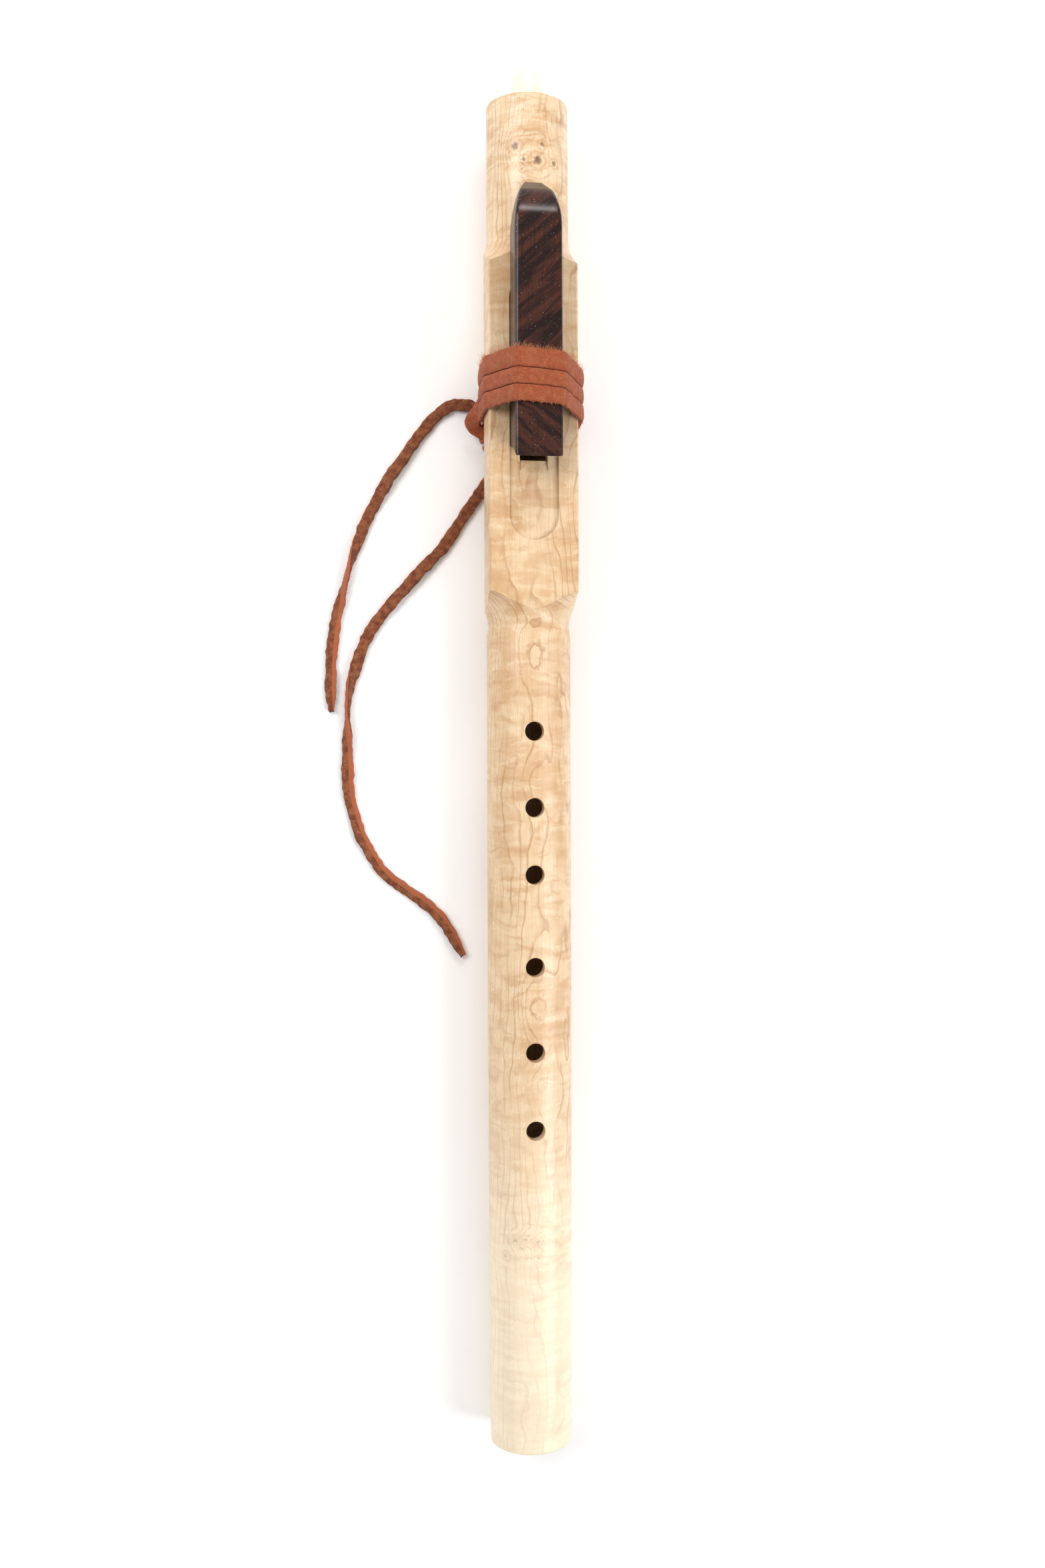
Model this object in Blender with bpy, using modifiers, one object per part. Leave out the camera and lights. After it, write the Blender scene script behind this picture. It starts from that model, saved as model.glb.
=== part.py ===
"""Six-hole wooden duct flute with a tied-on block, in metres.

The flute lies along +Y with its mouth end at +Y, its finger holes up (+Z) and its strap winding on z = 0.
Stations are measured along the flute from the foot end.
"""
import math

import bmesh
import bpy
from mathutils import Matrix, Vector

# Whole flute
BODY_LENGTH = 0.5224
NUB_PROUD = 0.0132
OVERALL = BODY_LENGTH + NUB_PROUD
SEAT_GAP = 0.0003
ROUND_STEPS = 64
BORE_STEPS = 40

# Body outside
BARREL_RADIUS = 0.0164
FOOT_RADIUS = 0.0159
HEAD_RADIUS = 0.0160
END_ROUNDING = 0.0011
NEST_HALF_WIDTH = 0.0172
NEST_FLAT_HEIGHT = 0.0173
NEST_EDGE_EASE = 0.0005
COVE_RADIUS = 0.0145
COVE_NECK_DIP = 0.0006
FOOT_COVE_STATION = 0.3181
HEAD_COVE_STATION = 0.4698
SHOULDER_RUN = 0.0036

# Air ways inside the body
BORE_RADIUS = 0.0111
BORE_CHAMFER = 0.0006
HOLE_RADIUS = 0.0037
HOLE_CHAMFER = 0.0004
HOLE_STATIONS = (0.1243, 0.1542, 0.1869, 0.2223, 0.2481, 0.2774)
WINDWAY_WIDTH = 0.0108
SOUND_HOLE_STATION = 0.3810
SOUND_HOLE_LENGTH = 0.0047
RAMP_LENGTH = 0.0047
RAMP_DEPTH = 0.0009
INLET_STATION = 0.4080
INLET_LENGTH = 0.0080

# Recess that the block lies in
RECESS_DEPTH = 0.0011
RECESS_FOOT_STATION = 0.3505
RECESS_HEAD_STATION = 0.4522

# Stopper between the breath chamber and the sound chamber
STOPPER_LENGTH = 0.0190
STOPPER_CHAMFER = 0.0008

# Turned mouthpiece
TENON_LENGTH = 0.0150
NUB_BASE_RADIUS = 0.0067
NUB_TIP_RADIUS = 0.0053
NUB_ROUNDING = 0.0009
BREATH_HOLE_RADIUS = 0.0032

# Block
BLOCK_WIDTH = 0.0183
BLOCK_TOP_HEIGHT = 0.0145
BLOCK_LENGTH = 0.1073
BLOCK_OVERHANG = 0.0063
BLOCK_SEAT_OFFSET = 0.0002
BLOCK_EDGE_EASE = 0.0012
NOSE_LENGTH = 0.0260
NOSE_BLUNT = 0.0017
NOSE_RIDGE_HEIGHT = 0.0090
NOSE_SLANT = 0.0058
NOSE_SLOPE_LENGTH = 0.0108
FLUE_DEPTH = 0.0009
BLOCK_TRAVEL = 0.0025
SIDE_CLEAR = 0.0001

# Strap
STRAP_WIDTH = 0.0062
STRAP_THICKNESS = 0.0021
STRAP_PITCH = 0.00675
STRAP_TURNS = 3
STRAP_MIDDLE_STATION = 0.4101
STRAP_START_ANGLE = math.radians(50.0)
STRAP_END_ANGLE = math.radians(36.0)
REST_CUT = 0.0005

# Knot and free ends
TIE_RADIUS = 0.0009
KNOT_SCALE = 0.0019
KNOT_RISE = 0.0018
KNOT_CENTRE = (-0.0200, 0.3990, 0.0031)
TIE_GAP = 0.00035
THONG_RADIUS = 0.0023
THONG_STEP = 0.0095
THONG_HEIGHT = 0.0024
TABLE_LEAN = 0.0078

# Routes of the free ends on the table: x, and station from the foot
SHORT_ROUTE = (
    (-0.0192, 0.4076), (-0.0222, 0.4088), (-0.0289, 0.4085), (-0.0356, 0.4033), (-0.0432, 0.3939),
    (-0.0489, 0.3856), (-0.0540, 0.3784), (-0.0581, 0.3706), (-0.0626, 0.3619), (-0.0662, 0.3532),
    (-0.0693, 0.3433), (-0.0718, 0.3345), (-0.0738, 0.3268), (-0.0754, 0.3188), (-0.0765, 0.3090),
    (-0.0770, 0.3006), (-0.0770, 0.2929), (-0.0765, 0.2858),
)
LONG_ROUTE = (
    (-0.0226, 0.3926), (-0.0210, 0.3860), (-0.0184, 0.3795), (-0.0192, 0.3720), (-0.0253, 0.3615),
    (-0.0326, 0.3510), (-0.0409, 0.3423), (-0.0485, 0.3337), (-0.0552, 0.3260), (-0.0597, 0.3199),
    (-0.0638, 0.3127), (-0.0684, 0.2985), (-0.0702, 0.2890), (-0.0705, 0.2780), (-0.0704, 0.2680),
    (-0.0699, 0.2534), (-0.0679, 0.2444), (-0.0650, 0.2356), (-0.0603, 0.2272), (-0.0550, 0.2201),
    (-0.0467, 0.2139), (-0.0384, 0.2078), (-0.0319, 0.2006), (-0.0278, 0.1933), (-0.0246, 0.1880),
)

# Values worked out from those above
FOOT_Y = -OVERALL / 2
AXIS_Z = NEST_HALF_WIDTH + SEAT_GAP + STRAP_THICKNESS - REST_CUT
NEST_Z = AXIS_Z + NEST_FLAT_HEIGHT
FLOOR_Z = NEST_Z - RECESS_DEPTH
BLOCK_TOP_Z = NEST_Z + BLOCK_TOP_HEIGHT
RECESS_WIDTH = BLOCK_WIDTH + 2 * SEAT_GAP
TENON_RADIUS = BORE_RADIUS - SEAT_GAP
BLOCK_FOOT = SOUND_HOLE_STATION + SOUND_HOLE_LENGTH + BLOCK_SEAT_OFFSET
BLOCK_TOP_FOOT = BLOCK_FOOT - BLOCK_OVERHANG
BLOCK_NOSE = BLOCK_TOP_FOOT + BLOCK_LENGTH
RECESS_STRAIGHT_END = RECESS_HEAD_STATION - RECESS_WIDTH / 2
KEEL_HEAD = RECESS_STRAIGHT_END - BLOCK_TRAVEL
CUT_PAST = 0.004


def clear_scene():
    for item in list(bpy.data.objects):
        bpy.data.objects.remove(item, do_unlink=True)


def collection(name):
    made = bpy.data.collections.new(name)
    bpy.context.scene.collection.children.link(made)
    return made


clear_scene()
FLUTE = collection("native_american_flute")
CUTTERS = collection("cutters")


def finish(name, colour, roughness):
    made = bpy.data.materials.new(name)
    made.use_nodes = True
    shader = made.node_tree.nodes["Principled BSDF"]
    shader.inputs["Base Color"].default_value = (*colour, 1.0)
    shader.inputs["Roughness"].default_value = roughness
    shader.inputs["Metallic"].default_value = 0.0
    return made


FIGURED_MAPLE = finish("figured_maple", (0.76, 0.53, 0.31), 0.32)
PLAIN_MAPLE = finish("plain_maple", (0.86, 0.72, 0.52), 0.42)
ROSEWOOD = finish("rosewood", (0.055, 0.022, 0.016), 0.30)
TAN_LEATHER = finish("tan_leather", (0.52, 0.19, 0.10), 0.75)


def arc(centre, radius, start, end, steps):
    """Points on a circle from one angle to another, in degrees."""
    points = []
    for i in range(steps + 1):
        angle = math.radians(start + (end - start) * i / steps)
        points.append((centre[0] + radius * math.cos(angle), centre[1] + radius * math.sin(angle)))
    return points


def place(obj, group, material=None):
    for old in list(obj.users_collection):
        old.objects.unlink(obj)
    group.objects.link(obj)
    if material:
        obj.data.materials.clear()
        obj.data.materials.append(material)
    if group is CUTTERS:
        obj.hide_render = True
        obj.display_type = "WIRE"
    return obj


def turned(name, profile, group, material=None, steps=ROUND_STEPS, closed=False, upright=False):
    """A profile of (radius, height) points, top to bottom, turned about its own axis.

    It lies along +Y from the foot end, or stands upright where that is asked for.
    """
    mesh = bpy.data.meshes.new(name)
    count = len(profile)
    edges = [(i, i + 1) for i in range(count - 1)]
    if closed:
        edges.append((count - 1, 0))
    mesh.from_pydata([(radius, 0.0, height) for radius, height in profile], edges, [])
    obj = place(bpy.data.objects.new(name, mesh), group, material)
    screw = obj.modifiers.new("turn", "SCREW")
    screw.steps = steps
    screw.render_steps = steps
    screw.use_merge_vertices = True
    screw.merge_threshold = 0.00001
    screw.use_smooth_shade = True
    if not upright:
        obj.rotation_euler = (-math.pi / 2, 0.0, 0.0)
        obj.location = (0.0, FOOT_Y, AXIS_Z)
    return obj


def made_mesh(obj, name, group, material=None):
    """The evaluated shape of a curve or of a modified object, as a plain mesh object."""
    bpy.context.view_layer.update()
    evaluated = obj.evaluated_get(bpy.context.evaluated_depsgraph_get())
    mesh = bpy.data.meshes.new_from_object(evaluated)
    shape = bmesh.new()
    shape.from_mesh(mesh)
    bmesh.ops.remove_doubles(shape, verts=shape.verts, dist=0.000002)
    bmesh.ops.recalc_face_normals(shape, faces=shape.faces)
    shape.to_mesh(mesh)
    shape.free()
    new = place(bpy.data.objects.new(name, mesh), group, material)
    new.matrix_world = obj.matrix_world.copy()
    bpy.data.objects.remove(obj, do_unlink=True)
    new.name = name
    return new


def slab(name, outline, thickness, group, across=False, location=(0.0, 0.0, 0.0), material=None):
    """A flat outline given a thickness.

    Lying flat it is drawn in X and Y; set across the flute it is drawn in Y and Z.
    """
    flat = bpy.data.curves.new(name, "CURVE")
    flat.dimensions = "2D"
    flat.fill_mode = "BOTH"
    flat.extrude = thickness / 2
    line = flat.splines.new("POLY")
    line.points.add(len(outline) - 1)
    for point, (a, b) in zip(line.points, outline):
        point.co = (a, b, 0.0, 1.0)
    line.use_cyclic_u = True
    obj = place(bpy.data.objects.new(name, flat), group)
    obj.location = location
    if across:
        turn = Matrix(((0, 0, 1), (1, 0, 0), (0, 1, 0)))
        obj.rotation_euler = turn.to_euler()
    return made_mesh(obj, name, group, material)


def cut(target, cutter, operation="DIFFERENCE"):
    boolean = target.modifiers.new(cutter.name, "BOOLEAN")
    boolean.operation = operation
    boolean.solver = "EXACT"
    boolean.object = cutter


def at(station):
    return FOOT_Y + station


# Body

def cove_radius(offset, neck):
    """Radius of the turned cove at a distance from its neck."""
    return neck + COVE_RADIUS - math.sqrt(max(COVE_RADIUS ** 2 - offset ** 2, 0.0))


def body_profile():
    """Outside of the turned blank, from the mouth end down to the foot."""
    blank = math.hypot(NEST_HALF_WIDTH, NEST_FLAT_HEIGHT) + 0.0006
    foot_neck = BARREL_RADIUS - COVE_NECK_DIP
    reach = math.sqrt(COVE_RADIUS ** 2 - (COVE_RADIUS - (blank - foot_neck)) ** 2)
    head_neck = HEAD_RADIUS
    head_reach = math.sqrt(COVE_RADIUS ** 2 - (COVE_RADIUS - (blank - head_neck)) ** 2)
    steps = 12
    profile = [(0.0, BODY_LENGTH)]
    profile += arc((HEAD_RADIUS - END_ROUNDING, BODY_LENGTH - END_ROUNDING), END_ROUNDING, 90, 0, 4)
    for i in range(steps + 1):
        offset = head_reach * i / steps
        profile.append((cove_radius(offset, head_neck), HEAD_COVE_STATION - offset))
    for i in range(steps + 1):
        offset = reach * (1 - i / steps)
        profile.append((cove_radius(offset, foot_neck), FOOT_COVE_STATION + offset))
    profile.append((BARREL_RADIUS - COVE_NECK_DIP * 0.3, FOOT_COVE_STATION - SHOULDER_RUN * 0.7))
    profile.append((BARREL_RADIUS, FOOT_COVE_STATION - SHOULDER_RUN))
    profile.append((BARREL_RADIUS, HOLE_STATIONS[1]))
    profile += arc((FOOT_RADIUS - END_ROUNDING, END_ROUNDING), END_ROUNDING, 0, -90, 4)
    profile.append((0.0, 0.0))
    return profile


def nest_section():
    """D-shaped section: flat above, upright sides, half round below."""
    half = ROUND_STEPS // 2
    ease = NEST_EDGE_EASE
    top = NEST_FLAT_HEIGHT
    outline = arc((0.0, 0.0), NEST_HALF_WIDTH, 180, 360, half)
    outline += [(NEST_HALF_WIDTH, top - ease), (NEST_HALF_WIDTH - ease, top)]
    outline += [(-NEST_HALF_WIDTH + ease, top), (-NEST_HALF_WIDTH, top - ease)]
    return outline


def along_flute(name, outline, length, station):
    """An X and Z outline carried along the flute, centred on a station."""
    flat = slab(name, outline, length, CUTTERS)
    flat.rotation_euler = (math.pi / 2, 0.0, 0.0)
    flat.location = (0.0, at(station), AXIS_Z)
    return flat


def stadium(width, low, high):
    """Outline of a slot with round ends, drawn in X and Y."""
    radius = width / 2
    outline = arc((0.0, at(high) - radius), radius, 0, 180, 20)
    outline += arc((0.0, at(low) + radius), radius, 180, 360, 20)
    return outline


def oblong(width, low, high):
    half = width / 2
    return [(-half, at(low)), (half, at(low)), (half, at(high)), (-half, at(high))]


def make_body():
    body = turned("body", body_profile(), FLUTE, FIGURED_MAPLE)
    cut(body, along_flute("nest_section", nest_section(), BODY_LENGTH * 2, BODY_LENGTH / 2), "INTERSECT")

    flare = BORE_RADIUS + BORE_CHAMFER
    bore_profile = [(0.0, BODY_LENGTH + CUT_PAST), (flare, BODY_LENGTH + CUT_PAST), (flare, BODY_LENGTH)]
    bore_profile += [(BORE_RADIUS, BODY_LENGTH - BORE_CHAMFER), (BORE_RADIUS, BORE_CHAMFER), (flare, 0.0)]
    bore_profile += [(flare, -CUT_PAST), (0.0, -CUT_PAST)]
    cut(body, turned("bore", bore_profile, CUTTERS, steps=BORE_STEPS))

    recess_height = RECESS_DEPTH + CUT_PAST
    recess = slab("recess", stadium(RECESS_WIDTH, RECESS_FOOT_STATION, RECESS_HEAD_STATION), recess_height, CUTTERS)
    recess.location.z = FLOOR_Z + recess_height / 2
    cut(body, recess)

    wall = FLOOR_Z - AXIS_Z - BORE_RADIUS
    slot_height = wall + 2 * CUT_PAST
    slot_middle = FLOOR_Z - wall / 2 - CUT_PAST / 2
    for name, low, length in (
        ("sound_hole", SOUND_HOLE_STATION, SOUND_HOLE_LENGTH),
        ("inlet_hole", INLET_STATION, INLET_LENGTH),
    ):
        slot = slab(name, oblong(WINDWAY_WIDTH, low, low + length), slot_height, CUTTERS)
        slot.location.z = slot_middle
        cut(body, slot)

    rise = RAMP_DEPTH / RAMP_LENGTH
    past = SOUND_HOLE_LENGTH / 2
    ramp = slab(
        "splitting_ramp",
        [
            (at(SOUND_HOLE_STATION - RAMP_LENGTH) - past, FLOOR_Z + rise * past),
            (at(SOUND_HOLE_STATION) + past, FLOOR_Z - RAMP_DEPTH - rise * past),
            (at(SOUND_HOLE_STATION) + past, FLOOR_Z + rise * past),
        ],
        WINDWAY_WIDTH,
        CUTTERS,
        across=True,
    )
    cut(body, ramp)

    top = AXIS_Z + BARREL_RADIUS
    deep = AXIS_Z + BORE_RADIUS * 0.5
    flare = HOLE_RADIUS + HOLE_CHAMFER + CUT_PAST
    for number, station in enumerate(HOLE_STATIONS, start=1):
        profile = [(0.0, top + CUT_PAST), (flare, top + CUT_PAST), (HOLE_RADIUS, top - HOLE_CHAMFER)]
        profile += [(HOLE_RADIUS, deep), (0.0, deep)]
        hole = turned(f"finger_hole_{number}", profile, CUTTERS, steps=24, upright=True)
        hole.location = (0.0, at(station), 0.0)
        cut(body, hole)
    return body


# Pieces glued into the bore

def make_stopper():
    """Wall between the two chambers, under the windway."""
    low = SOUND_HOLE_STATION + SOUND_HOLE_LENGTH + 0.0010
    high = low + STOPPER_LENGTH
    inner = TENON_RADIUS - STOPPER_CHAMFER
    profile = [(0.0, high), (inner, high), (TENON_RADIUS, high - STOPPER_CHAMFER)]
    profile += [(TENON_RADIUS, low + STOPPER_CHAMFER), (inner, low), (0.0, low)]
    return turned("chamber_stopper", profile, FLUTE, PLAIN_MAPLE, steps=BORE_STEPS)


def make_mouthpiece():
    """Tenon in the bore and a tapered nub to blow through."""
    tip = BODY_LENGTH + NUB_PROUD
    tenon_end = BODY_LENGTH - BORE_CHAMFER
    back = BODY_LENGTH - TENON_LENGTH
    cove = 0.0016
    profile = [(BREATH_HOLE_RADIUS, back), (BREATH_HOLE_RADIUS, tip - NUB_ROUNDING * 0.5)]
    profile.append((BREATH_HOLE_RADIUS + NUB_ROUNDING * 0.5, tip))
    profile += arc((NUB_TIP_RADIUS - NUB_ROUNDING, tip - NUB_ROUNDING), NUB_ROUNDING, 90, 10, 4)
    profile += arc((NUB_BASE_RADIUS + cove, tenon_end + cove), cove, 180, 270, 4)
    profile += [(TENON_RADIUS, tenon_end), (TENON_RADIUS, back)]
    return turned("mouthpiece", profile, FLUTE, PLAIN_MAPLE, steps=BORE_STEPS, closed=True)


# Block

def block_side():
    """Side view of the block, in Y and Z: undercut foot, long flat top, sloping slanted nose."""
    under = NEST_Z + SEAT_GAP
    sole = FLOOR_Z + SEAT_GAP
    height = BLOCK_TOP_Z - sole
    outline = []
    steps = 6
    for i in range(steps + 1):
        share = i / steps
        outline.append((at(BLOCK_FOOT) - BLOCK_OVERHANG * share ** 1.6, sole + height * share))
    ridge = (at(BLOCK_NOSE) - NOSE_SLANT, NEST_Z + NOSE_RIDGE_HEIGHT)
    fall = BLOCK_TOP_Z - ridge[1]
    for i in range(steps + 1):
        share = i / steps
        outline.append((ridge[0] - NOSE_SLOPE_LENGTH * (1 - share), BLOCK_TOP_Z - fall * share ** 1.5))
    outline += [(at(BLOCK_NOSE), under), (at(KEEL_HEAD), under), (at(KEEL_HEAD), sole)]
    return outline


def block_plan():
    """Plan of the space that the block's bullet nose is cut to, in X and Y."""
    half = BLOCK_WIDTH / 2 + SIDE_CLEAR
    start = BLOCK_NOSE + NOSE_BLUNT - NOSE_LENGTH
    tip_share = (NOSE_LENGTH - NOSE_BLUNT) / NOSE_LENGTH
    steps = 12
    right = []
    for i in range(steps + 1):
        angle = math.asin(tip_share) * i / steps
        right.append((half * math.cos(angle), at(start) + NOSE_LENGTH * math.sin(angle)))
    left = [(-x, y) for x, y in reversed(right)]
    foot = at(BLOCK_TOP_FOOT) - CUT_PAST
    nose = [(right[-1][0], at(BLOCK_NOSE) + CUT_PAST), (left[0][0], at(BLOCK_NOSE) + CUT_PAST)]
    return [(half, foot)] + right + nose + left + [(-half, foot)]


def ease_top_edges(obj, width):
    """Rounds the two long edges of the block's top, foot to nose."""
    shape = bmesh.new()
    shape.from_mesh(obj.data)
    world = obj.matrix_world
    ridge = NEST_Z + NOSE_RIDGE_HEIGHT - SIDE_CLEAR
    sharp = []
    for edge in shape.edges:
        one, two = [world @ vert.co for vert in edge.verts]
        along = one.x * two.x > 0 and abs(one.y - two.y) > abs(one.z - two.z)
        if along and min(one.z, two.z) > ridge and edge.calc_face_angle() > math.radians(60):
            sharp.append(edge)
    bmesh.ops.bevel(shape, geom=sharp, offset=width, segments=4, profile=0.5, affect="EDGES", clamp_overlap=True)
    shape.to_mesh(obj.data)
    shape.free()


def make_block():
    block = slab("block", block_side(), BLOCK_WIDTH, FLUTE, across=True, material=ROSEWOOD)
    ease_top_edges(block, BLOCK_EDGE_EASE)
    height = BLOCK_TOP_Z - FLOOR_Z + 2 * CUT_PAST
    plan = slab("block_plan", block_plan(), height, CUTTERS)
    plan.location.z = (BLOCK_TOP_Z + FLOOR_Z) / 2
    cut(block, plan, "INTERSECT")

    flue_low = BLOCK_TOP_FOOT - CUT_PAST
    flue_high = INLET_STATION + INLET_LENGTH
    flue_top = FLOOR_Z + SEAT_GAP + FLUE_DEPTH
    flue = slab("flue", oblong(WINDWAY_WIDTH, flue_low, flue_high), FLUE_DEPTH + CUT_PAST, CUTTERS)
    flue.location.z = flue_top - (FLUE_DEPTH + CUT_PAST) / 2
    cut(block, flue)
    return block


# Strap

def strap_loop(offset):
    """Taut closed path round the block and the body, clockwise seen from the foot, as (x, z) points.

    It starts straight below the flute and goes up the left side.
    """
    ease = BLOCK_EDGE_EASE
    corner = NEST_EDGE_EASE
    discs = [
        ((0.0, AXIS_Z), NEST_HALF_WIDTH, 12),
        ((-NEST_HALF_WIDTH + corner, NEST_Z - corner), corner, 2),
        ((-BLOCK_WIDTH / 2 + ease, BLOCK_TOP_Z - ease), ease, 4),
        ((BLOCK_WIDTH / 2 - ease, BLOCK_TOP_Z - ease), ease, 4),
        ((NEST_HALF_WIDTH - corner, NEST_Z - corner), corner, 2),
        ((0.0, AXIS_Z), NEST_HALF_WIDTH, 12),
    ]
    normals = [-90.0]
    for (one, r_one, _), (two, r_two, _) in zip(discs, discs[1:]):
        run = Vector((two[0] - one[0], two[1] - one[1]))
        heading = math.degrees(math.atan2(run.y, run.x))
        lean = math.degrees(math.asin((r_two - r_one) / run.length))
        normals.append(heading + 90.0 + lean)
    normals.append(-90.0)
    points = []
    for index, (centre, radius, steps) in enumerate(discs):
        first = normals[index]
        last = normals[index + 1]
        while first - last > 360.0:
            last += 360.0
        while last > first:
            last -= 360.0
        for point in arc(centre, radius + offset, first, last, steps):
            points.append(point)
    return points[:-1]


def strap_path():
    """Middle line of the winding: its turns creep towards the foot on the way down the right side."""
    loop = strap_loop(SEAT_GAP + STRAP_THICKNESS / 2)
    count = len(loop)
    lengths = [0.0]
    for one, two in zip(loop, loop[1:] + loop[:1]):
        lengths.append(lengths[-1] + math.dist(one, two))
    whole = lengths[-1]
    radius = NEST_HALF_WIDTH + SEAT_GAP + STRAP_THICKNESS / 2
    first = radius * STRAP_START_ANGLE
    last = whole * STRAP_TURNS + radius * STRAP_END_ANGLE
    stops = [lengths[i] + whole * turn for turn in range(STRAP_TURNS + 1) for i in range(count)]
    stops = [first] + [s for s in stops if first + 0.0003 < s < last - 0.0003] + [last]
    path = []
    for stop in stops:
        turn, within = divmod(stop, whole)
        index = max(i for i in range(count) if lengths[i] <= within)
        share = (within - lengths[index]) / (lengths[index + 1] - lengths[index])
        one = Vector(loop[index])
        two = Vector(loop[(index + 1) % count])
        x, z = one.lerp(two, share)
        way = min(max((within / whole - 0.42) / 0.50, 0.0), 1.0)
        creep = turn + way * way * (3 - 2 * way)
        station = STRAP_MIDDLE_STATION + STRAP_PITCH * ((STRAP_TURNS - 1) / 2 - creep)
        path.append(Vector((x, at(station), z)))
    return path


def least_gap(points, thickness, skip):
    """Smallest distance between stretches of one line that are not neighbours, less its thickness."""
    best = min((one - two).length for i, one in enumerate(points) for two in points[i + skip:])
    return best - thickness


def make_winding():
    path = strap_path()
    shape = bmesh.new()
    half = Vector((0.0, STRAP_WIDTH / 2, 0.0))
    rungs = [(shape.verts.new(point - half), shape.verts.new(point + half)) for point in path]
    for (a, b), (c, d) in zip(rungs, rungs[1:]):
        shape.faces.new((a, c, d, b))
    mesh = bpy.data.meshes.new("strap_winding")
    shape.to_mesh(mesh)
    shape.free()
    winding = place(bpy.data.objects.new("strap_winding", mesh), FLUTE, TAN_LEATHER)
    solid = winding.modifiers.new("thickness", "SOLIDIFY")
    solid.thickness = STRAP_THICKNESS
    solid.offset = 0.0
    solid.use_even_offset = True
    table = slab("table_plane", oblong(4 * BORE_RADIUS, STRAP_MIDDLE_STATION - 0.03, STRAP_MIDDLE_STATION + 0.03),
                 CUT_PAST, CUTTERS)
    table.location.z = -CUT_PAST / 2
    cut(winding, table)
    gap = least_gap(path, STRAP_WIDTH, len(path) // (2 * STRAP_TURNS))
    print(f"strap winding: least gap between its turns {gap * 1000:.2f} mm")
    return path


# Knot and free ends

def smooth_route(route, step):
    """Points at an even step along a smooth curve through the route's own points."""
    ends = [route[0] * 2 - route[1]] + list(route) + [route[-1] * 2 - route[-2]]
    fine = []
    for a, b, c, d in zip(ends, ends[1:], ends[2:], ends[3:]):
        for i in range(12):
            t = i / 12
            fine.append(0.5 * (2 * b + (c - a) * t + (2 * a - 5 * b + 4 * c - d) * t * t
                               + (3 * b - a - 3 * c + d) * t ** 3))
    fine.append(route[-1])
    lengths = [0.0]
    for one, two in zip(fine, fine[1:]):
        lengths.append(lengths[-1] + (two - one).length)
    count = max(2, round(lengths[-1] / step))
    points = []
    for i in range(count + 1):
        goal = lengths[-1] * i / count
        index = max(k for k in range(len(fine) - 1) if lengths[k] <= goal + 1e-12)
        share = (goal - lengths[index]) / (lengths[index + 1] - lengths[index])
        points.append(fine[index].lerp(fine[index + 1], share))
    return points, lengths[-1]


def tube(name, points, radius, material):
    line = bpy.data.curves.new(name, "CURVE")
    line.dimensions = "3D"
    line.bevel_depth = radius
    line.bevel_resolution = 2
    line.use_fill_caps = True
    spline = line.splines.new("POLY")
    spline.points.add(len(points) - 1)
    for point, place_at in zip(spline.points, points):
        point.co = (*place_at, 1.0)
    spline.use_smooth = True
    obj = place(bpy.data.objects.new(name, line), FLUTE)
    return made_mesh(obj, name, FLUTE, material)


def knot_leads(path):
    """Standing ends of the knot: each leaves an end of the winding straight, then turns into the hollow beside it."""
    head_way = (path[0] - path[1]).normalized()
    foot_way = (path[-1] - path[-2]).normalized()
    head_lead = [path[0] + head_way * (TIE_GAP + run) for run in (0.0, TIE_RADIUS)]
    head_lead += [Vector((-0.0137, at(0.4152), 0.0046)), Vector((-0.0146, at(0.4125), 0.0036))]
    head_lead += [Vector((-0.0150, at(0.4080), 0.0032)), Vector((-0.0156, at(0.4040), 0.0042))]
    foot_lead = [Vector((-0.0158, at(0.3966), 0.0022)), Vector((-0.0141, at(0.3966), 0.0042))]
    foot_lead += [path[-1] + foot_way * (TIE_GAP + run) for run in (TIE_RADIUS, 0.0)]
    return head_lead, foot_lead


def make_knot(path):
    """Overhand knot in the hollow between the winding and the table, its standing ends led to the winding."""
    centre = Vector((KNOT_CENTRE[0], at(KNOT_CENTRE[1]), KNOT_CENTRE[2]))
    head_lead, foot_lead = knot_leads(path)
    loops = []
    steps = 30
    open_share = 0.62
    for i in range(steps + 1):
        t = math.pi + open_share + (2 * math.pi - 2 * open_share) * i / steps
        x = math.sin(t) + 2 * math.sin(2 * t)
        y = math.cos(t) - 2 * math.cos(2 * t)
        loops.append(centre + Vector((-y * KNOT_SCALE, x * KNOT_SCALE, -KNOT_RISE * math.sin(3 * t))))
    points, length = smooth_route(head_lead + loops + foot_lead, 2 * TIE_RADIUS)
    gap = least_gap(points, 2 * TIE_RADIUS, 4)
    print(f"strap knot: least gap between its strands {gap * 1000:.2f} mm, {length * 1000:.0f} mm long")
    return tube("strap_knot", points, TIE_RADIUS, TAN_LEATHER)


def make_thong(name, route):
    """A free end on the table, which the flute touches with its winding and, as it leans, with its foot."""
    guide = []
    for x, station in route:
        lean = TABLE_LEAN * max(STRAP_MIDDLE_STATION - station, 0.0)
        guide.append(Vector((x, at(station), THONG_HEIGHT + lean)))
    points, length = smooth_route(guide, THONG_STEP)
    print(f"{name}: {length * 1000:.0f} mm long, {len(points)} points")
    return tube(name, points, THONG_RADIUS, TAN_LEATHER)


make_body()
make_stopper()
make_mouthpiece()
make_block()
make_knot(make_winding())
make_thong("thong_short", SHORT_ROUTE)
make_thong("thong_long", LONG_ROUTE)
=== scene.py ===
"""Looks of the wooden duct flute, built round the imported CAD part.

Everything is in metres in the part's own frame: +Y to the mouth end, +Z up through the
finger holes, z = 0 at the strap's underside. Stations are measured along the flute from
the foot end. The material recipes work in millimetres of the same frame.
"""

import math
import random

import bpy
from mathutils import Matrix, Vector, noise


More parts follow.
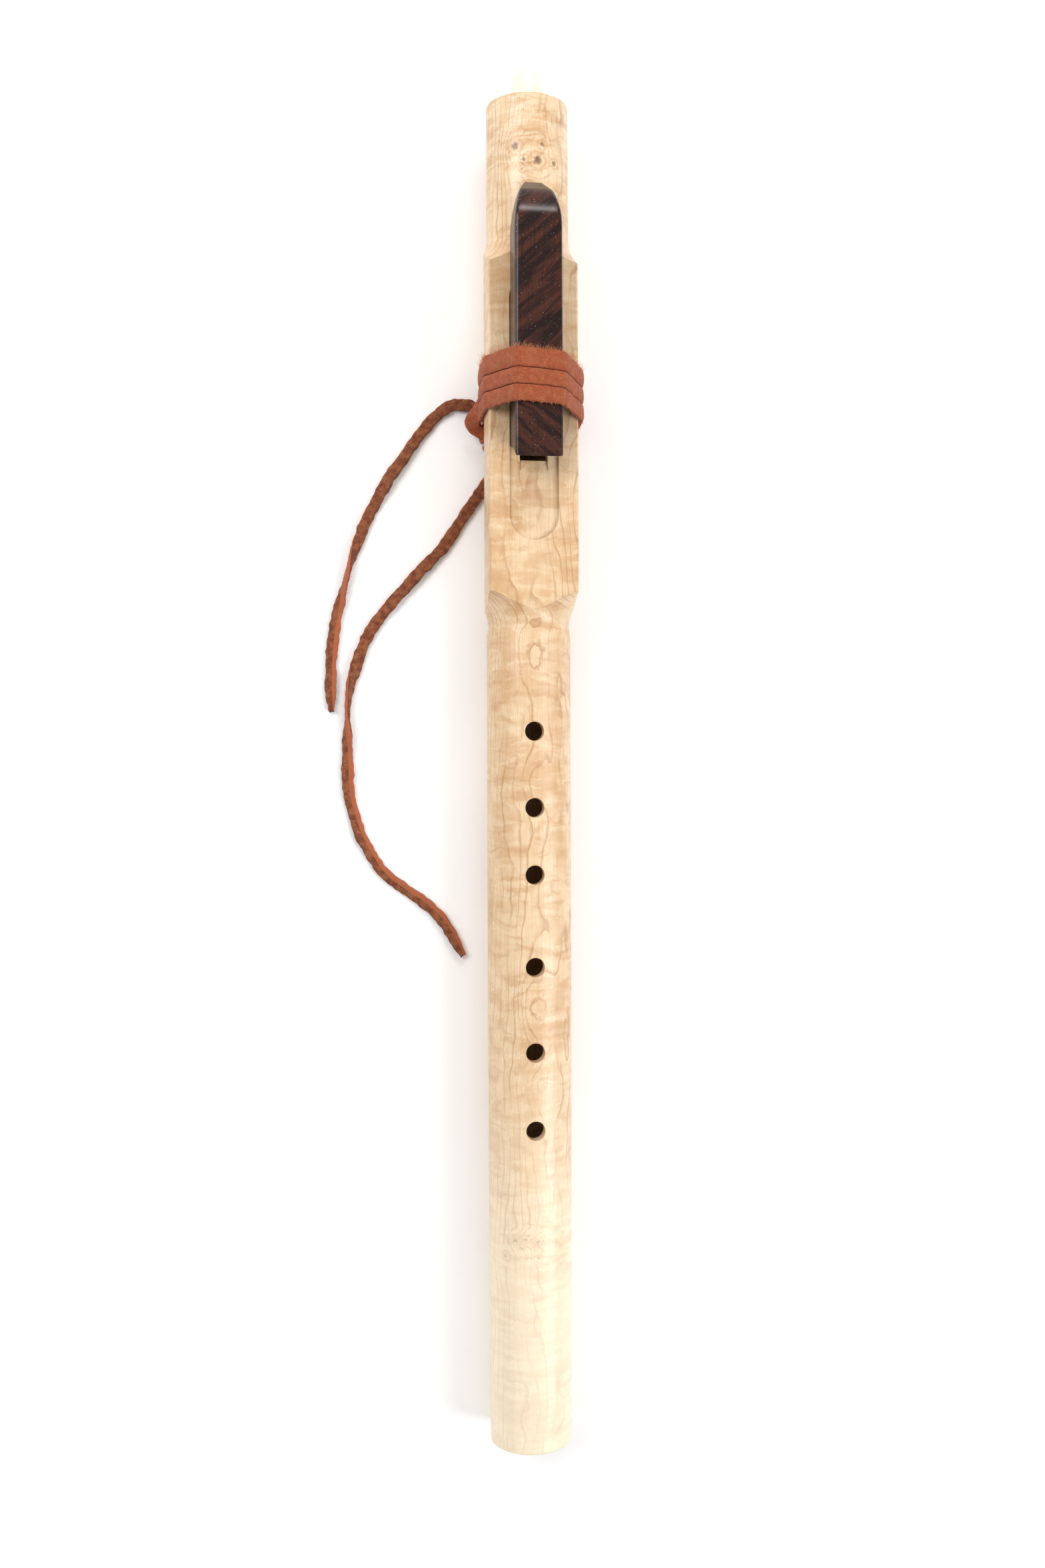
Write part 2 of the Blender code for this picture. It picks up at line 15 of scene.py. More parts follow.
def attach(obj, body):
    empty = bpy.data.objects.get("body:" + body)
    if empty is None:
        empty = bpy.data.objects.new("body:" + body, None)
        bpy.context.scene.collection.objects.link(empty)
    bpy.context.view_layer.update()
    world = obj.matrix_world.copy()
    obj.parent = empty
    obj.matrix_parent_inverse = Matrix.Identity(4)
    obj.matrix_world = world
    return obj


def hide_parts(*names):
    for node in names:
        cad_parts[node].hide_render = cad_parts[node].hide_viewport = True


# Places that the CAD part has too
FOOT_Y = -0.2678
AXIS_Z = 0.0191
NEST_Z = 0.0364
RECESS_FLOOR_Z = 0.0353
BLOCK_TOP_Z = 0.0509
BARREL_RADIUS = 0.0164
NEST_HALF_WIDTH = 0.0172
BLOCK_HALF_WIDTH = 0.00915
SEAT_GAP = 0.0003
STRAP_THICKNESS = 0.0021
STRAP_MIDDLE = 0.4101
STRAP_START_ANGLE = math.radians(50.0)
STRAP_END_ANGLE = math.radians(36.0)
# Slope of the table below the flute, which rests on its strap and its foot rim
TABLE_LEAN = 0.0078

# The photo's camera
PHOTO_SIZE = (1568, 2352)
PHOTO_CENTRE = (793.5, 1118.0)
PHOTO_FOCAL = 2290.1
CAMERA_AIM = Vector((0.0, 0.0042, 0.0191))
CAMERA_REACH = 0.600
CAMERA_ORBIT = math.radians(8.0)
CAMERA_TILT = math.radians(0.1925)

# The strap's free ends as the photo shows them: places (x, station) from the root on
SHORT_ROUTE = (
    (-0.0192, 0.4076), (-0.0222, 0.4088), (-0.0289, 0.4085), (-0.0356, 0.4033), (-0.0432, 0.3939),
    (-0.0489, 0.3856), (-0.0540, 0.3784), (-0.0581, 0.3706), (-0.0626, 0.3619), (-0.0662, 0.3532),
    (-0.0693, 0.3433), (-0.0718, 0.3345), (-0.0738, 0.3268), (-0.0754, 0.3188), (-0.0765, 0.3090),
    (-0.0770, 0.3006), (-0.0770, 0.2929), (-0.0765, 0.2858),
)
LONG_ROUTE = (
    (-0.0150, 0.3926), (-0.0128, 0.3885), (-0.0122, 0.3835), (-0.0140, 0.3785), (-0.0253, 0.3615),
    (-0.0326, 0.3510), (-0.0409, 0.3423), (-0.0485, 0.3337), (-0.0552, 0.3260), (-0.0597, 0.3199),
    (-0.0638, 0.3127), (-0.0684, 0.2985), (-0.0702, 0.2890), (-0.0705, 0.2780), (-0.0704, 0.2680),
    (-0.0699, 0.2534), (-0.0679, 0.2444), (-0.0650, 0.2356), (-0.0603, 0.2272), (-0.0550, 0.2201),
    (-0.0467, 0.2139), (-0.0384, 0.2078), (-0.0319, 0.2006), (-0.0278, 0.1933), (-0.0246, 0.1880),
)
THONG_WIDTH = 0.0045
THONG_THICKNESS = 0.0021
THONG_STEP = 0.0006
THONG_EXIT_Z = 0.0024
THONG_SETTLE_LENGTH = 0.008
RAGGED_FROM = 0.94
# What the knot has beyond this x is pushed in, because the body hides it in the photo
KNOT_INSIDE = -0.0135
KNOT_SQUEEZE = 0.35

# Mesh work: merging, smoothing by angle, and the block's even mesh
MERGE_DISTANCE = 0.000004
SLIVER_LENGTH = 0.000002
SMOOTH_ANGLE = math.radians(32.0)
SAME_SLOPE = 0.35
VOXEL_SIZE = 0.00042
MILLIMETRES = 1000.0

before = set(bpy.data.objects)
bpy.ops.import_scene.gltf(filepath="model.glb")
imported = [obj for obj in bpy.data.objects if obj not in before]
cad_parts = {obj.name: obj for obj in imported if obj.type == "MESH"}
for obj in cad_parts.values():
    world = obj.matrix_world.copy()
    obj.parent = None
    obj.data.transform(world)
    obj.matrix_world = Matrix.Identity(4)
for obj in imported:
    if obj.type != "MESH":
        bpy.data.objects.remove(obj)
bpy.ops.object.select_all(action="DESELECT")
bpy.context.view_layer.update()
SCENE = bpy.context.scene
CHANCE = random.Random(11)


# Camera

def camera_axes():
    across = Vector((math.cos(CAMERA_ORBIT), 0.0, math.sin(CAMERA_ORBIT)))
    along = Vector((0.0, 1.0, 0.0))
    back = Vector((-math.sin(CAMERA_ORBIT), 0.0, math.cos(CAMERA_ORBIT)))
    right = across * math.cos(CAMERA_TILT) - along * math.sin(CAMERA_TILT)
    up = across * math.sin(CAMERA_TILT) + along * math.cos(CAMERA_TILT)
    return right, up, back


def add_camera():
    right, up, back = camera_axes()
    place = CAMERA_AIM + back * CAMERA_REACH
    data = bpy.data.cameras.new("photo_camera")
    data.sensor_width = 36.0
    data.lens = 36.0 * PHOTO_FOCAL / PHOTO_SIZE[1]
    data.shift_x = (PHOTO_SIZE[0] / 2 - PHOTO_CENTRE[0]) / PHOTO_SIZE[1]
    data.shift_y = (PHOTO_CENTRE[1] - PHOTO_SIZE[1] / 2) / PHOTO_SIZE[1]
    data.clip_start = 0.01
    camera = bpy.data.objects.new("photo_camera", data)
    SCENE.collection.objects.link(camera)
    turn = Matrix((right, up, back)).transposed()
    camera.matrix_world = Matrix.Translation(place) @ turn.to_4x4()
    SCENE.camera = camera


def seen_at(px, py):
    """Point of the barrel's surface that the photo shows at a pixel."""
    right, up, back = camera_axes()
    eye = CAMERA_AIM + back * CAMERA_REACH
    ray = right * (px - PHOTO_CENTRE[0]) - up * (py - PHOTO_CENTRE[1]) - back * PHOTO_FOCAL
    a = ray.x ** 2 + ray.z ** 2
    b = eye.x * ray.x + (eye.z - AXIS_Z) * ray.z
    c = eye.x ** 2 + (eye.z - AXIS_Z) ** 2 - BARREL_RADIUS ** 2
    share = (-b - math.sqrt(max(b * b - a * c, 0.0))) / a
    return eye + ray * share


# Node trees

class Net:
    """Short ways to add nodes to one tree."""

    def __init__(self, tree):
        self.tree = tree

    def put(self, socket, value):
        if isinstance(value, bpy.types.NodeSocket):
            self.tree.links.new(value, socket)
        else:
            socket.default_value = value

    def fill(self, node, values):
        for key, value in values.items():
            self.put(node.inputs[key], value)

    def add(self, kind, values=None, **settings):
        made = self.tree.nodes.new(kind)
        for key, value in settings.items():
            setattr(made, key, value)
        self.fill(made, values or {})
        return made

    def math(self, operation, one, two=0.0):
        return self.add("ShaderNodeMath", {0: one, 1: two}, operation=operation).outputs[0]

    def vector(self, operation, one, two):
        made = self.add("ShaderNodeVectorMath", {0: one, 1: two}, operation=operation)
        return made.outputs["Value" if operation in ("DISTANCE", "LENGTH") else "Vector"]

    def parts(self, place):
        return self.add("ShaderNodeSeparateXYZ", {0: place}).outputs

    def noise(self, place, scale, detail=3.0, roughness=0.55, twist=0.0):
        values = {"Vector": place, "Scale": scale, "Detail": detail, "Roughness": roughness,
                  "Distortion": twist}
        return self.add("ShaderNodeTexNoise", values).outputs[0]

    def grain(self, place, scales, detail=3.0, roughness=0.55, twist=0.0):
        """Noise with its own scale along each axis."""
        return self.noise(self.vector("MULTIPLY", place, scales), 1.0, detail, roughness, twist)

    def span(self, value, low, high, start=0.0, end=1.0):
        """Value mapped smoothly from low..high to start..end."""
        values = {"Value": value, "From Min": low, "From Max": high, "To Min": start, "To Max": end}
        return self.add("ShaderNodeMapRange", values, interpolation_type="SMOOTHSTEP").outputs[0]

    def window(self, value, rise, full, fall, none):
        """1 from full to fall, and 0 below rise and above none."""
        return self.math("MULTIPLY", self.span(value, rise, full), self.span(value, fall, none, 1.0, 0.0))

    def mix(self, share, one, two):
        return self.add("ShaderNodeMix", {0: share, 6: one, 7: two}, data_type="RGBA").outputs[2]

    def layered(self, colour, layers):
        """A colour under layers of (share, colour), the last one on top."""
        for share, tone in layers:
            colour = self.mix(share, colour, tone)
        return colour

    def bump(self, height, strength, distance):
        values = {"Strength": strength, "Distance": distance, "Height": height}
        return self.add("ShaderNodeBump", values).outputs[0]

    def group(self, tree, values):
        return self.add("ShaderNodeGroup", values, node_tree=tree).outputs


def rgb(red, green, blue):
    return (red, green, blue, 1.0)


def material(name):
    """A material with its shader, and the object's own place in millimetres."""
    made = bpy.data.materials.new(name)
    made.use_nodes = True
    net = Net(made.node_tree)
    shader = made.node_tree.nodes["Principled BSDF"]
    where = net.add("ShaderNodeTexCoord").outputs["Object"]
    place = net.vector("MULTIPLY", where, (MILLIMETRES,) * 3)
    return made, net, shader, place


def new_group(name, inputs, outputs):
    tree = bpy.data.node_groups.new(name, "ShaderNodeTree")
    for socket, kind in inputs:
        tree.interface.new_socket(socket, in_out="INPUT", socket_type=kind)
    for socket in outputs:
        tree.interface.new_socket(socket, in_out="OUTPUT", socket_type="NodeSocketFloat")
    net = Net(tree)
    return net, net.add("NodeGroupInput").outputs, net.add("NodeGroupOutput").inputs


# The log's centre line beside the flute, in millimetres
PITH = (-24.0, 0.0, -9.0)


def wood_figure():
    """Growth lines, fibre streaks, short flecks and patches, from a place in millimetres."""
    inputs = (("Place", "NodeSocketVector"), ("Bulge", "NodeSocketFloat"),
              ("Ring Width", "NodeSocketFloat"), ("Waviness", "NodeSocketFloat"))
    net, given, out = new_group("wood_figure", inputs, ("Lines", "Streaks", "Flecks", "Patches"))
    place = given["Place"]
    from_pith = net.vector("MULTIPLY", net.vector("SUBTRACT", place, PITH), (1.0, 0.0, 1.0))
    rings = net.math("DIVIDE", net.vector("LENGTH", from_pith, (0.0, 0.0, 0.0)), given["Ring Width"])
    wave = net.grain(place, (0.045, 0.013, 0.045), 2.5, 0.5)
    rings = net.math("ADD", rings, net.math("MULTIPLY", wave, given["Waviness"]))
    ripple = net.grain(place, (0.14, 0.075, 0.14), 1.5, 0.5)
    rings = net.math("ADD", rings, net.math("MULTIPLY", ripple, 1.1))
    phase = net.math("FRACT", net.math("ADD", rings, given["Bulge"]))
    late_wood = net.window(phase, 0.70, 0.965, 0.965, 1.0)
    fade = net.span(net.grain(place, (0.16, 0.02, 0.16), 2.0), 0.36, 0.62, 0.15, 1.0)
    net.put(out["Lines"], net.math("MULTIPLY", late_wood, fade))
    net.put(out["Streaks"], net.grain(place, (2.4, 0.06, 2.4), 4.0, 0.6))
    net.put(out["Flecks"], net.span(net.grain(place, (4.5, 0.75, 4.5), 2.0, 0.6), 0.60, 0.70))
    net.put(out["Patches"], net.grain(place, (0.07, 0.030, 0.07), 3.0, 0.55))
    return net.tree


def pebbled():
    """Leather grain: rounded pebbles parted by creases, from a place in millimetres."""
    inputs = (("Place", "NodeSocketVector"), ("Size", "NodeSocketFloat"))
    net, given, out = new_group("pebbled_grain", inputs, ("Height", "Creases", "Blotches"))
    place, size = given["Place"], given["Size"]
    warp = net.add("ShaderNodeTexNoise", {"Vector": place, "Scale": 1.1, "Detail": 2.0}).outputs["Color"]
    bent = net.vector("ADD", place, net.vector("MULTIPLY", warp, (0.7, 0.7, 0.7)))
    sizes = net.add("ShaderNodeCombineXYZ", {0: size, 1: size, 2: size}).outputs[0]
    values = {"Vector": net.vector("DIVIDE", bent, sizes), "Scale": 1.0}
    edge_distance = net.add("ShaderNodeTexVoronoi", values, feature="DISTANCE_TO_EDGE").outputs[0]
    dome = net.span(edge_distance, 0.0, 0.34)
    fine = net.noise(place, 5.5, 3.0, 0.6)
    net.put(out["Height"], net.math("ADD", dome, net.math("MULTIPLY", fine, 0.55)))
    net.put(out["Creases"], net.span(edge_distance, 0.0, 0.16, 1.0, 0.0))
    net.put(out["Blotches"], net.noise(place, 0.42, 4.0, 0.6))
    return net.tree


WOOD = wood_figure()
PEBBLED = pebbled()

# Burl eyes that the photo shows on the body: pixel, radius in millimetres, how dark
EYES = (
    ((772, 218), 2.9, 0.85), ((807, 240), 3.3, 0.85), ((814, 216), 1.9, 0.8), ((785, 238), 1.7, 0.8),
    ((784, 252), 1.6, 0.7), ((832, 245), 2.0, 0.8), ((774, 1861), 1.9, 0.75), ((789, 1859), 1.7, 0.7),
    ((808, 1864), 1.7, 0.75), ((783, 1872), 1.2, 0.8), ((834, 1864), 1.4, 0.7), ((845, 1850), 1.0, 0.7),
    ((843, 1869), 1.0, 0.7), ((809, 1888), 1.2, 0.6), ((827, 1888), 1.1, 0.6), ((757, 1884), 1.6, 0.65),
)
# Swells that growth lines loop round: pixel, radius in millimetres, strength in rings
SWELLS = (
    ((798, 1515), 8.5, 1.7), ((805, 1630), 8.0, 1.6), ((796, 990), 10.0, 1.5), ((812, 1895), 12.0, 1.6),
    ((790, 228), 13.0, 1.8), ((800, 1180), 9.0, 1.0), ((790, 2010), 12.0, 1.3),
)
# Swells are longer than wide by this share
SWELL_SQUEEZE = 0.55


def burl(net, bent):
    """Shift of the growth rings round swells and eyes, and the eyes' dark cores and halos."""
    bulge, core, halo = 0.0, 0.0, 0.0
    squeezed = net.vector("MULTIPLY", bent, (1.0, SWELL_SQUEEZE, 1.0))
    for pixel, radius, strength in SWELLS:
        centre = seen_at(*pixel) * MILLIMETRES
        away = net.vector("DISTANCE", squeezed, (centre.x, centre.y * SWELL_SQUEEZE, centre.z))
        bulge = net.math("ADD", net.span(away, 0.0, radius, strength, 0.0), bulge)
    for pixel, radius, strength in EYES:
        away = net.vector("DISTANCE", bent, tuple(seen_at(*pixel) * MILLIMETRES))
        bulge = net.math("ADD", net.span(away, 0.0, radius * 3.0, 1.3, 0.0), bulge)
        core = net.math("MAXIMUM", net.span(away, radius * 0.2, radius * 0.75, strength, 0.0), core)
        ring = net.window(away, radius * 0.75, radius, radius, radius * 1.4)
        halo = net.math("MAXIMUM", ring, halo)
    return bulge, core, halo


def painted_recess_shade(net, x, y, z):
    """Share of painted shade on the recess's walls, which shows as a fine dark line."""
    up = net.window(z, 35.32, 35.50, 36.25, 36.39)
    along = net.window(y, 82.0, 82.5, 184.6, 185.2)
    across = net.span(net.math("ABSOLUTE", x), 9.75, 9.95, 1.0, 0.0)
    return net.math("MULTIPLY", net.math("MULTIPLY", up, along), net.math("MULTIPLY", across, 0.72))


def figured_maple():
    made, net, shader, place = material("figured_maple_wood")
    warp = net.add("ShaderNodeTexNoise", {"Vector": place, "Scale": 0.55, "Detail": 2.0}).outputs["Color"]
    warp = net.vector("MULTIPLY", net.vector("SUBTRACT", warp, (0.5, 0.5, 0.5)), (2.6, 2.6, 2.6))
    bent = net.vector("ADD", place, warp)
    bulge, core, halo = burl(net, bent)
    figure = net.group(WOOD, {"Place": place, "Bulge": bulge, "Ring Width": 2.7, "Waviness": 7.5})
    x, y, z = net.parts(place)
    curl = net.span(net.grain(bent, (0.07, 0.34, 0.07), 2.0, 0.5, 0.6), 0.38, 0.66)
    curl_by_station = net.math("ADD", net.span(y, 200.0, 232.0, 0.30, 0.80),
                               net.span(y, -180.0, -145.0, 0.65, 0.0))
    folds = net.grain(bent, (0.055, 0.125, 0.055), 2.0, 0.5, 1.6)
    flecks_by_side = net.span(x, -13.0, -5.0, 0.60, 0.10)
    patches = net.span(figure["Patches"], 0.36, 0.62)
    colour = net.mix(patches, rgb(0.780, 0.575, 0.360), rgb(0.650, 0.405, 0.212))
    colour = net.layered(colour, (
        # Dark and pale folds of the figure, then the curl's pale bars at head and foot
        (net.span(folds, 0.50, 0.64, 0.0, 0.55), rgb(0.560, 0.320, 0.155)),
        (net.span(folds, 0.36, 0.46, 0.50, 0.0), rgb(0.840, 0.660, 0.440)),
        (net.math("MULTIPLY", curl, curl_by_station), rgb(0.860, 0.690, 0.470)),
        # Fibres, growth lines and flecks
        (net.span(figure["Streaks"], 0.34, 0.72, 0.0, 0.38), rgb(0.560, 0.330, 0.155)),
        (net.math("MULTIPLY", figure["Lines"], 0.62), rgb(0.400, 0.185, 0.072)),
        (net.math("MULTIPLY", figure["Flecks"], flecks_by_side), rgb(0.430, 0.225, 0.095)),
        # Burl eyes
        (net.math("MULTIPLY", halo, 0.45), rgb(0.500, 0.235, 0.100)),
        (core, rgb(0.170, 0.065, 0.028)),
        # Painted light that makes the wood paler towards the foot, and painted shade on the recess's walls
        (net.span(y, -240.0, -90.0, 0.62, 0.0), rgb(0.960, 0.850, 0.660)),
        (painted_recess_shade(net, x, y, z), rgb(0.150, 0.072, 0.036)),
    ))
    height = net.math("ADD", figure["Streaks"], net.math("ADD", net.math("MULTIPLY", curl, 0.5), folds))
    net.fill(shader, {"Base Color": colour, "Roughness": 0.40, "Coat Weight": 0.25,
                      "Coat Roughness": 0.25, "Normal": net.bump(height, 0.10, 0.0003)})
    return made


def plain_maple():
    made, net, shader, place = material("plain_maple_wood")
    figure = net.group(WOOD, {"Place": place, "Bulge": 0.0, "Ring Width": 1.7, "Waviness": 1.5})
    streaks = net.span(figure["Streaks"], 0.35, 0.70)
    colour = net.mix(streaks, rgb(0.930, 0.870, 0.740), rgb(0.860, 0.760, 0.590))
    colour = net.mix(net.math("MULTIPLY", figure["Lines"], 0.30), colour, rgb(0.600, 0.400, 0.220))
    net.fill(shader, {"Base Color": colour, "Roughness": 0.48,
                      "Normal": net.bump(figure["Streaks"], 0.12, 0.0002)})
    return made


def rosewood():
    """Very dark wood whose red-brown bands rise to the right above the strap and fall below it."""
    made, net, shader, place = material("rosewood_wood")
    x, y, z = net.parts(place)
    lean = net.span(y, 125.0, 158.0, 0.75, -0.85)
    slant = net.math("ADD", y, net.math("MULTIPLY", x, lean))
    banded = net.add("ShaderNodeCombineXYZ", {
        0: net.math("MULTIPLY", x, 0.05),
        1: net.math("MULTIPLY", slant, 0.21),
        2: net.math("MULTIPLY", z, 0.05),
    }).outputs[0]
    bands = net.span(net.noise(banded, 1.0, 3.0, 0.6, 0.5), 0.42, 0.66)
    figure = net.group(WOOD, {"Place": place, "Bulge": 0.0, "Ring Width": 1.3, "Waviness": 4.0})
    specks = net.span(net.noise(place, 2.3, 1.0, 0.5), 0.735, 0.76)
    colour = net.mix(bands, rgb(0.017, 0.0070, 0.0055), rgb(0.076, 0.022, 0.013))
    colour = net.layered(colour, (
        (net.span(figure["Streaks"], 0.40, 0.72, 0.0, 0.65), rgb(0.014, 0.007, 0.006)),
        (specks, rgb(0.42, 0.33, 0.28)),
    ))
    net.fill(shader, {"Base Color": colour, "Roughness": 0.27, "Specular IOR Level": 0.42,
                      "Normal": net.bump(figure["Streaks"], 0.16, 0.0002)})
    return made


def leather(name, face, lit_slope_tone, crease_shade, pebble, height, smooth=None):
    """Pebbled leather, with painted shade in the grain's creases and along the band's cut edges. Where a
    smooth colour is given, it shows on the thong's smoother side.
    """
    made, net, shader, place = material(name)
    grain = net.group(PEBBLED, {"Place": place, "Size": pebble})
    rim = net.add("ShaderNodeAttribute", attribute_name="rim").outputs["Fac"]
    # Paler blotches in the tone of the leather's lit slopes: painted highlight, laid at random
    colour = net.mix(net.span(grain["Blotches"], 0.35, 0.66), face, lit_slope_tone)
    colour = net.layered(colour, (
        # Painted shade in the grain's creases
        (net.math("MULTIPLY", grain["Creases"], 0.55), crease_shade),
        # Painted shade along the cut edges of strap and thongs, in the seams between the turns
        (net.math("MULTIPLY", net.span(rim, 0.90, 0.99), 0.55), crease_shade),
    ))
    relief = grain["Height"]
    if smooth:
        side = net.add("ShaderNodeAttribute", attribute_name="side").outputs["Fac"]
        side = net.span(side, 0.72, 0.86)
        colour = net.mix(side, colour, smooth)
        relief = net.math("MULTIPLY", relief, net.span(side, 0.0, 1.0, 1.0, 0.25))
    net.fill(shader, {"Base Color": colour, "Roughness": 0.70, "Sheen Weight": 0.04,
                      "Specular IOR Level": 0.28, "Normal": net.bump(relief, 0.60, height)})
    return made


def plain(name, colour, roughness):
    made, net, shader, place = material(name)
    paler = rgb(*(min(0.97, channel * 1.12) for channel in colour))
    tint = net.mix(net.noise(place, 0.8), rgb(*colour), paler)
    net.fill(shader, {"Base Color": tint, "Roughness": roughness})
    return made


MAPLE = figured_maple()
PALE = plain_maple()
DARK = rosewood()
# Leather colours: face, the lit tone painted in blotches as highlight, and the painted shade of creases and
# cut edges
STRAP = leather("strap_leather", rgb(0.430, 0.094, 0.032), rgb(0.500, 0.142, 0.058),
                rgb(0.200, 0.042, 0.015), 0.62, 0.0008)
SUEDE = leather("thong_suede", rgb(0.225, 0.058, 0.023), rgb(0.430, 0.150, 0.062),
                rgb(0.085, 0.022, 0.010), 0.50, 0.0007, smooth=rgb(0.400, 0.112, 0.046))
FUZZ = plain("leather_fuzz", (0.60, 0.24, 0.115), 0.8)
WHITE = plain("white_table", (0.97, 0.97, 0.97), 0.75)


# Wooden pieces: merged copies of the CAD pieces with true round normals

def select(obj):
    bpy.ops.object.select_all(action="DESELECT")
    obj.select_set(True)
    bpy.context.view_layer.objects.active = obj


def turned_side(face):
    """1 for a face turned about the flute's axis that faces out, -1 for one that faces in, else 0."""
    centre, normal = face.center, face.normal
    out = Vector((centre.x, 0.0, centre.z - AXIS_Z))
    flat = Vector((normal.x, 0.0, normal.z))
    if flat.length < 0.2 or out.length < 0.002:
        return 0
    on_flat = min(abs(centre.z - NEST_Z), abs(centre.z - RECESS_FLOOR_Z)) < 0.0001
    on_side = abs(normal.x) > 0.9999 and centre.z > AXIS_Z + 0.0005
    if on_side or (on_flat and normal.z > 0.999):
        return 0
    facing = flat.normalized().dot(out.normalized())
    if abs(facing) < 0.985:
        return 0
    return 1 if facing > 0 else -1


def true_normals(obj, turned=True):
    """Smooths by angle with area weights, and gives turned faces the normals of a true circle."""
    mesh = obj.data
    mesh.polygons.foreach_set("use_smooth", [True] * len(mesh.polygons))
    kinds = [turned_side(face) if turned else 0 for face in mesh.polygons]
    around = [[] for _ in mesh.vertices]
    for face in mesh.polygons:
        for vert in face.vertices:
            around[vert].append(face.index)
    normals = []
    limit = math.cos(SMOOTH_ANGLE)
    for face in mesh.polygons:
        kind = kinds[face.index]
        for vert in face.vertices:
            near = [mesh.polygons[i] for i in around[vert] if kinds[i] == kind]
            if kind:
                near = [f for f in near if abs(f.normal.y - face.normal.y) < SAME_SLOPE]
                lean = sum(f.normal.y * f.area for f in near) / max(sum(f.area for f in near), 1e-12)
                point = mesh.vertices[vert].co
                out = Vector((point.x, 0.0, point.z - AXIS_Z)).normalized() * kind
                normal = out * math.sqrt(max(1.0 - lean * lean, 0.0)) + Vector((0.0, lean, 0.0))
            else:
                near = [f for f in near if f.normal.dot(face.normal) > limit]
                normal = sum((f.normal * f.area for f in near), Vector())
                normal = normal.normalized() if normal.length > 0 else face.normal.copy()
            normals.append(normal)
    mesh.normals_split_custom_set(normals)


def dressed(node, name, body, finish, slot, turned=True):
    """A merged copy of a CAD piece with its finish, in that piece's place."""
    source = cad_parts[node]
    obj = source.copy()
    obj.data = source.data.copy()
    obj.name = name
    for key in list(obj.keys()):
        if key.startswith("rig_"):
            del obj[key]
    obj.parent = None
    obj.matrix_world = Matrix.Identity(4)
    SCENE.collection.objects.link(obj)
    select(obj)
    bpy.ops.object.mode_set(mode="EDIT")
    bpy.ops.mesh.select_all(action="SELECT")
    bpy.ops.mesh.remove_doubles(threshold=MERGE_DISTANCE)
    bpy.ops.mesh.dissolve_degenerate(threshold=SLIVER_LENGTH)
    bpy.ops.object.mode_set(mode="OBJECT")
    true_normals(obj, turned)
    settle(obj, body, finish, slot, node)
    return obj


def settle(obj, body, finish, slot, *nodes):
    """Gives a piece its finish and body, and hides the CAD pieces that it stands for; the slot is not used.
    """
    obj.data.materials.clear()
    obj.data.materials.append(finish)
    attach(obj, body)
    if nodes:
        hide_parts(*nodes)
    return obj


def soften(obj):
    """Rounds a carved piece's edges, most at its nose and least at its crisp foot end."""
    select(obj)
    remesh = obj.modifiers.new("even_mesh", "REMESH")
    remesh.mode = "VOXEL"
    remesh.voxel_size = VOXEL_SIZE
    bpy.ops.object.modifier_apply(modifier=remesh.name)
    weight = obj.vertex_groups.new(name="soft")
    for vert in obj.data.vertices:
        share = min(max((vert.co.y - 0.120) / 0.080, 0.12), 1.0)
        low = min(max((vert.co.z - RECESS_FLOOR_Z - 0.0015) / 0.002, 0.0), 1.0)
        weight.add([vert.index], share * low, "REPLACE")
    for factor, repeat in ((0.8, 26), (0.5, 4)):
        smooth = obj.modifiers.new("round_edges", "SMOOTH")
        smooth.factor = factor
        smooth.iterations = repeat
        smooth.vertex_group = weight.name
        bpy.ops.object.modifier_apply(modifier=smooth.name)
    bpy.ops.object.shade_smooth()


dressed("body", "maple_body", "flute", MAPLE, "figured_maple")
dressed("mouthpiece", "turned_mouthpiece", "flute", PALE, "plain_maple")
dressed("chamber_stopper", "bore_stopper", "flute", PALE, "plain_maple")
block = dressed("block", "rosewood_block", "block", DARK, "rosewood", turned=False)
soften(block)
knot = dressed("strap_knot", "leather_knot", "flute", STRAP, "tan_leather", turned=False)
for vert in knot.data.vertices:
    if vert.co.x < KNOT_INSIDE:
        vert.co.x = KNOT_INSIDE + (vert.co.x - KNOT_INSIDE) * KNOT_SQUEEZE


# Leather

def skin(name, rings, rims, sides=None):
    """A closed skin over rings of points, with a rim value for each point of a ring."""
    count = len(rings[0])
    points = [point for ring in rings for point in ring]
    faces = []
    for i in range(len(rings) - 1):
        for j in range(count):
            k = (j + 1) % count
            faces.append((i * count + j, i * count + k, (i + 1) * count + k, (i + 1) * count + j))
    faces.append(tuple(reversed(range(count))))
    faces.append(tuple(range((len(rings) - 1) * count, len(rings) * count)))
    mesh = bpy.data.meshes.new(name)
    mesh.from_pydata(points, [], faces)
    mesh.polygons.foreach_set("use_smooth", [True] * len(mesh.polygons))
    rim = mesh.attributes.new("rim", "FLOAT", "POINT")
    rim.data.foreach_set("value", list(rims) * len(rings))
    side = mesh.attributes.new("side", "FLOAT", "POINT")
    side.data.foreach_set("value", list(sides or [0.0] * count) * len(rings))
    obj = bpy.data.objects.new(name, mesh)
    SCENE.collection.objects.link(obj)
    select(obj)
    bpy.ops.object.mode_set(mode="EDIT")
    bpy.ops.mesh.select_all(action="SELECT")
    bpy.ops.mesh.normals_make_consistent(inside=False)
    bpy.ops.object.mode_set(mode="OBJECT")
    return obj


def band_section(count, power):
    """Points (across, up) in -1..1 round a flat band with soft edges."""
    section = []
    for i in range(count):
        angle = 2 * math.pi * i / count
        c, s = math.cos(angle), math.sin(angle)
        section.append((math.copysign(abs(c) ** (2 / power), c), math.copysign(abs(s) ** (2 / power), s)))
    return section


SECTION = band_section(28, 4.0)
RIMS = [abs(across) for across, up in SECTION]
SIDES = [across - 0.6 * up for across, up in SECTION]


